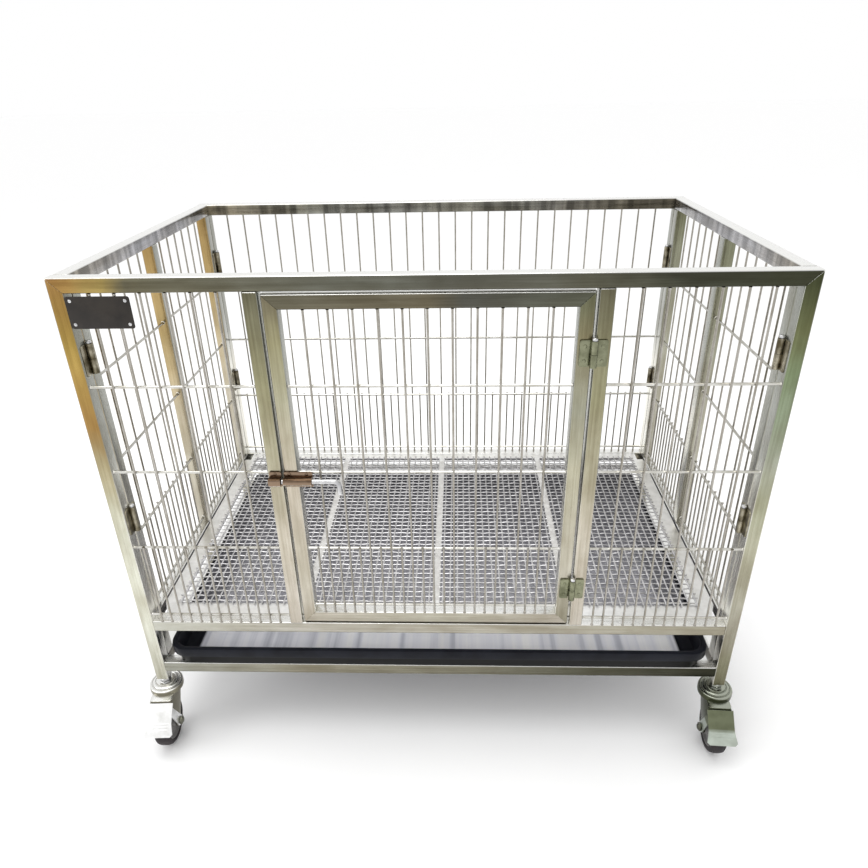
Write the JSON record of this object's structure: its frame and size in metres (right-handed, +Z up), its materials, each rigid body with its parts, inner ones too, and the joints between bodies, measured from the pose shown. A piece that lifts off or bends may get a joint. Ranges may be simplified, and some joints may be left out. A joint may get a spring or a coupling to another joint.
{
  "type": "folding pet cage",
  "caption": "Open-topped pet cage of square steel tube and wire, with a hinged door, latch, lift-out floor grid, slide-out tray and braked casters.",
  "frame": {"origin": "on the ground, under the middle of the cage", "axes": "+X to the right seen from the door, +Y from the door to the rear, +Z up"},
  "size_m": [0.933, 0.6766, 0.761],
  "materials": {
    "stainless_tube": "polished stainless steel, softly mirrored",
    "bright_wire": "bright drawn stainless wire",
    "floor_steel": "satin stainless wire and flat bar",
    "dark_steel": "dark plated hinge and latch steel",
    "zinc": "zinc plated steel",
    "tray_plastic": "moulded dark blue-grey plastic, satin",
    "plate_black": "black plate, satin",
    "tyre": "black solid rubber"
  },
  "bodies": {
    "frame": {"caster_stem_front_left": "zinc", "caster_stem_front_right": "zinc", "caster_stem_rear_left": "zinc", "caster_stem_rear_right": "zinc", "door_hinge_pin_lower": "zinc", "door_hinge_pin_upper": "zinc", "door_hinge_post_leaf_lower": "dark_steel", "door_hinge_post_leaf_upper": "dark_steel", "door_post_left": "stainless_tube", "door_post_right": "stainless_tube", "front_floor_rail": "stainless_tube", "front_post_left": "stainless_tube", "front_post_right": "stainless_tube", "front_top_rail": "stainless_tube", "front_tray_rail": "stainless_tube", "front_wires_left": "bright_wire", "front_wires_right": "bright_wire", "latch_keeper": "dark_steel", "name_plate": "plate_black", "rear_floor_rail": "stainless_tube", "rear_post_left": "stainless_tube", "rear_post_right": "stainless_tube", "rear_top_rail": "stainless_tube", "rear_tray_rail": "stainless_tube", "rear_wires": "bright_wire", "side_frame_left": "stainless_tube", "side_frame_right": "stainless_tube", "side_wires_left_front": "bright_wire", "side_wires_left_rear": "bright_wire", "side_wires_right_front": "bright_wire", "side_wires_right_rear": "bright_wire"},
    "door": {"door_frame": "stainless_tube", "door_wires": "bright_wire", "door_hinge_door_leaf_lower": "dark_steel", "door_hinge_door_leaf_upper": "dark_steel", "latch_guide": "dark_steel"},
    "bolt": {"latch_bolt": "zinc"},
    "floor": {"floor_rim": "floor_steel", "floor_mesh": "floor_steel"},
    "tray": {"tray": "tray_plastic"},
    "corner_pin_front_left_lower": {"corner_pin_front_left_lower": "zinc"},
    "corner_pin_front_left_upper": {"corner_pin_front_left_upper": "zinc"},
    "corner_pin_front_right_lower": {"corner_pin_front_right_lower": "zinc"},
    "corner_pin_front_right_upper": {"corner_pin_front_right_upper": "zinc"},
    "corner_pin_rear_left_lower": {"corner_pin_rear_left_lower": "zinc"},
    "corner_pin_rear_left_upper": {"corner_pin_rear_left_upper": "zinc"},
    "corner_pin_rear_right_lower": {"corner_pin_rear_right_lower": "zinc"},
    "corner_pin_rear_right_upper": {"corner_pin_rear_right_upper": "zinc"},
    "caster_front_left": {"caster_fork_front_left": "zinc"},
    "wheel_front_left": {"caster_wheel_front_left": "tyre"},
    "pedal_front_left": {"caster_pedal_front_left": "zinc"},
    "caster_front_right": {"caster_fork_front_right": "zinc"},
    "wheel_front_right": {"caster_wheel_front_right": "tyre"},
    "pedal_front_right": {"caster_pedal_front_right": "zinc"},
    "caster_rear_left": {"caster_fork_rear_left": "zinc"},
    "wheel_rear_left": {"caster_wheel_rear_left": "tyre"},
    "pedal_rear_left": {"caster_pedal_rear_left": "zinc"},
    "caster_rear_right": {"caster_fork_rear_right": "zinc"},
    "wheel_rear_right": {"caster_wheel_rear_right": "tyre"},
    "pedal_rear_right": {"caster_pedal_rear_right": "zinc"}
  },
  "joints": [
    {"name": "door_hinge", "type": "hinge", "parent": "frame", "child": "door", "pos_m": [0.1985, -0.2798, 0.4875], "axis": [0, 0, 1], "range_deg": [0, 175]},
    {"name": "latch_bolt_slide", "type": "slide", "parent": "door", "child": "bolt", "axis": [-1, 0, 0], "range_m": [0, 0.029]},
    {"name": "floor_lift", "type": "slide", "parent": "frame", "child": "floor", "axis": [0, 0, 1], "range_m": [0, 0.56]},
    {"name": "tray_slide", "type": "slide", "parent": "frame", "child": "tray", "axis": [0, -1, 0], "range_m": [0, 0.45]},
    {"name": "corner_pin_front_left_lower_lift", "type": "slide", "parent": "frame", "child": "corner_pin_front_left_lower", "axis": [0, 0, 1], "range_m": [0, 0.045]},
    {"name": "corner_pin_front_left_upper_lift", "type": "slide", "parent": "frame", "child": "corner_pin_front_left_upper", "axis": [0, 0, 1], "range_m": [0, 0.045]},
    {"name": "corner_pin_front_right_lower_lift", "type": "slide", "parent": "frame", "child": "corner_pin_front_right_lower", "axis": [0, 0, 1], "range_m": [0, 0.045]},
    {"name": "corner_pin_front_right_upper_lift", "type": "slide", "parent": "frame", "child": "corner_pin_front_right_upper", "axis": [0, 0, 1], "range_m": [0, 0.045]},
    {"name": "corner_pin_rear_left_lower_lift", "type": "slide", "parent": "frame", "child": "corner_pin_rear_left_lower", "axis": [0, 0, 1], "range_m": [0, 0.045]},
    {"name": "corner_pin_rear_left_upper_lift", "type": "slide", "parent": "frame", "child": "corner_pin_rear_left_upper", "axis": [0, 0, 1], "range_m": [0, 0.045]},
    {"name": "corner_pin_rear_right_lower_lift", "type": "slide", "parent": "frame", "child": "corner_pin_rear_right_lower", "axis": [0, 0, 1], "range_m": [0, 0.045]},
    {"name": "corner_pin_rear_right_upper_lift", "type": "slide", "parent": "frame", "child": "corner_pin_rear_right_upper", "axis": [0, 0, 1], "range_m": [0, 0.045]},
    {"name": "swivel_front_left", "type": "hinge", "parent": "frame", "child": "caster_front_left", "pos_m": [-0.4405, -0.2655, 0.1], "axis": [0, 0, 1], "continuous": true},
    {"name": "wheel_spin_front_left", "type": "hinge", "parent": "caster_front_left", "child": "wheel_front_left", "pos_m": [-0.43914, -0.29146, 0.0375], "axis": [0.9986, 0.0523, 0], "continuous": true},
    {"name": "brake_pedal_front_left", "type": "hinge", "parent": "caster_front_left", "child": "pedal_front_left", "pos_m": [-0.43914, -0.29146, 0.0375], "axis": [0.9986, 0.0523, 0], "range_deg": [0, 25]},
    {"name": "swivel_front_right", "type": "hinge", "parent": "frame", "child": "caster_front_right", "pos_m": [0.4405, -0.2655, 0.1], "axis": [0, 0, 1], "continuous": true},
    {"name": "wheel_spin_front_right", "type": "hinge", "parent": "caster_front_right", "child": "wheel_front_right", "pos_m": [0.43914, -0.29146, 0.0375], "axis": [0.9986, -0.0523, 0], "continuous": true},
    {"name": "brake_pedal_front_right", "type": "hinge", "parent": "caster_front_right", "child": "pedal_front_right", "pos_m": [0.43914, -0.29146, 0.0375], "axis": [0.9986, -0.0523, 0], "range_deg": [0, 25]},
    {"name": "swivel_rear_left", "type": "hinge", "parent": "frame", "child": "caster_rear_left", "pos_m": [-0.4405, 0.2655, 0.1], "axis": [0, 0, 1], "continuous": true},
    {"name": "wheel_spin_rear_left", "type": "hinge", "parent": "caster_rear_left", "child": "wheel_rear_left", "pos_m": [-0.43914, 0.29146, 0.0375], "axis": [-0.9986, 0.0523, 0], "continuous": true},
    {"name": "brake_pedal_rear_left", "type": "hinge", "parent": "caster_rear_left", "child": "pedal_rear_left", "pos_m": [-0.43914, 0.29146, 0.0375], "axis": [-0.9986, 0.0523, 0], "range_deg": [0, 25]},
    {"name": "swivel_rear_right", "type": "hinge", "parent": "frame", "child": "caster_rear_right", "pos_m": [0.4405, 0.2655, 0.1], "axis": [0, 0, 1], "continuous": true},
    {"name": "wheel_spin_rear_right", "type": "hinge", "parent": "caster_rear_right", "child": "wheel_rear_right", "pos_m": [0.43914, 0.29146, 0.0375], "axis": [-0.9986, -0.0523, 0], "continuous": true},
    {"name": "brake_pedal_rear_right", "type": "hinge", "parent": "caster_rear_right", "child": "pedal_rear_right", "pos_m": [0.43914, 0.29146, 0.0375], "axis": [-0.9986, -0.0523, 0], "range_deg": [0, 25]}
  ]
}
